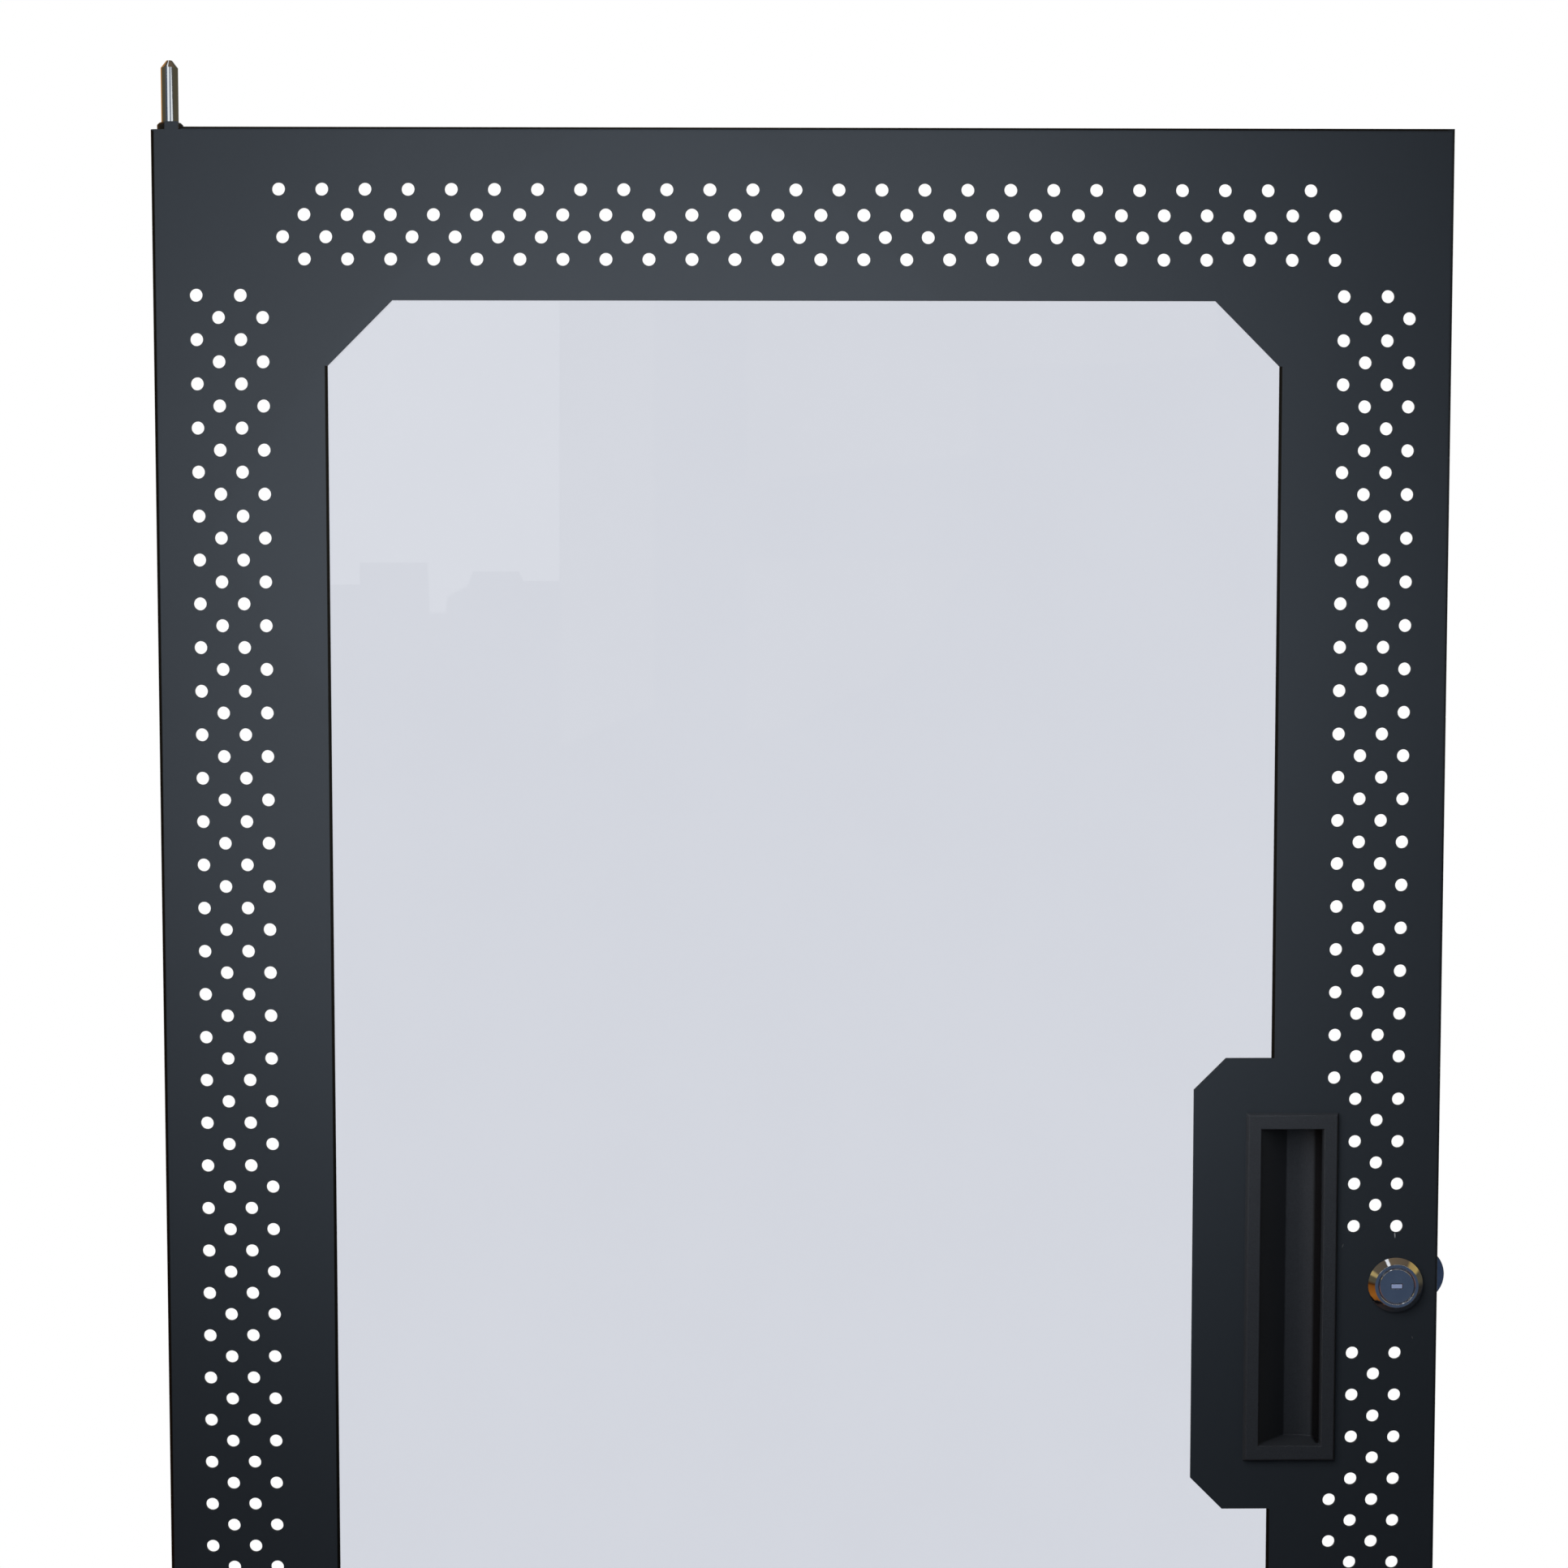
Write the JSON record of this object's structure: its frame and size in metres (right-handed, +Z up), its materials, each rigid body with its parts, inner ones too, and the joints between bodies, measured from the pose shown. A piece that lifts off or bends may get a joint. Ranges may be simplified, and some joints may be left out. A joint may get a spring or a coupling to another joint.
{
  "type": "acrylic window rack door",
  "caption": "Tall folded steel rack door with a perforated border, tinted acrylic window, flush pull, key cam lock and hinge pins, the upper one sprung and retractable.",
  "frame": {"origin": "on the hinge axis, at the seat face of the lower bush, where the fixed pin leaves the door", "axes": "+X from the hinge axis to the lock edge, +Y from the front to the back, +Z up along the hinge axis"},
  "size_m": [0.6076, 0.0348, 1.129],
  "materials": {
    "powder_coat": "fine satin charcoal powder coat",
    "tinted_acrylic": "clear sheet with a pale grey tint, gloss",
    "foam_tape": "closed-cell foam",
    "black_moulding": "fine spark-eroded texture",
    "dark_bush": "smooth, dark",
    "lock_chrome": "bright plated",
    "plated_steel": "zinc plated"
  },
  "bodies": {
    "door": {"door_skin": "powder_coat", "acrylic_pane": "tinted_acrylic", "pane_foam_tape": "foam_tape", "pane_weld_studs": "plated_steel", "pane_washers": "plated_steel", "pane_nuts": "plated_steel", "flush_pull": "black_moulding", "lock_housing": "lock_chrome", "lock_washer": "plated_steel", "lock_nut": "plated_steel", "hinge_bracket_top": "powder_coat", "hinge_bush_top": "dark_bush", "pin_spring": "plated_steel", "hinge_bracket_bottom": "powder_coat", "hinge_bush_bottom": "dark_bush", "hinge_pin_bottom": "lock_chrome", "pin_nut_bottom": "plated_steel"},
    "lock_core": {"lock_plug": "lock_chrome", "lock_cam": "plated_steel", "cam_washer": "plated_steel", "cam_screw": "plated_steel"},
    "shutter": {"key_shutter": "lock_chrome"},
    "sliding_pin": {"hinge_pin_top": "lock_chrome", "pin_clip": "plated_steel", "release_knob": "black_moulding"}
  },
  "joints": [
    {"name": "lock_turn", "type": "hinge", "parent": "door", "child": "lock_core", "pos_m": [0.5721, 0, 0.544], "axis": [0, 1, 0], "range_deg": [0, 90]},
    {"name": "shutter_flap", "type": "hinge", "parent": "lock_core", "child": "shutter", "pos_m": [0.5721, -0.01335, 0.5448], "axis": [1, 0, 0], "range_deg": [0, 80], "stiffness_Nm_per_rad": 0.0002},
    {"name": "pin_slide", "type": "slide", "parent": "door", "child": "sliding_pin", "axis": [0, 0, -1], "range_m": [0, 0.027], "stiffness_N_per_m": 200, "springref_m": -0.01, "deforming": ["pin_spring"]}
  ]
}
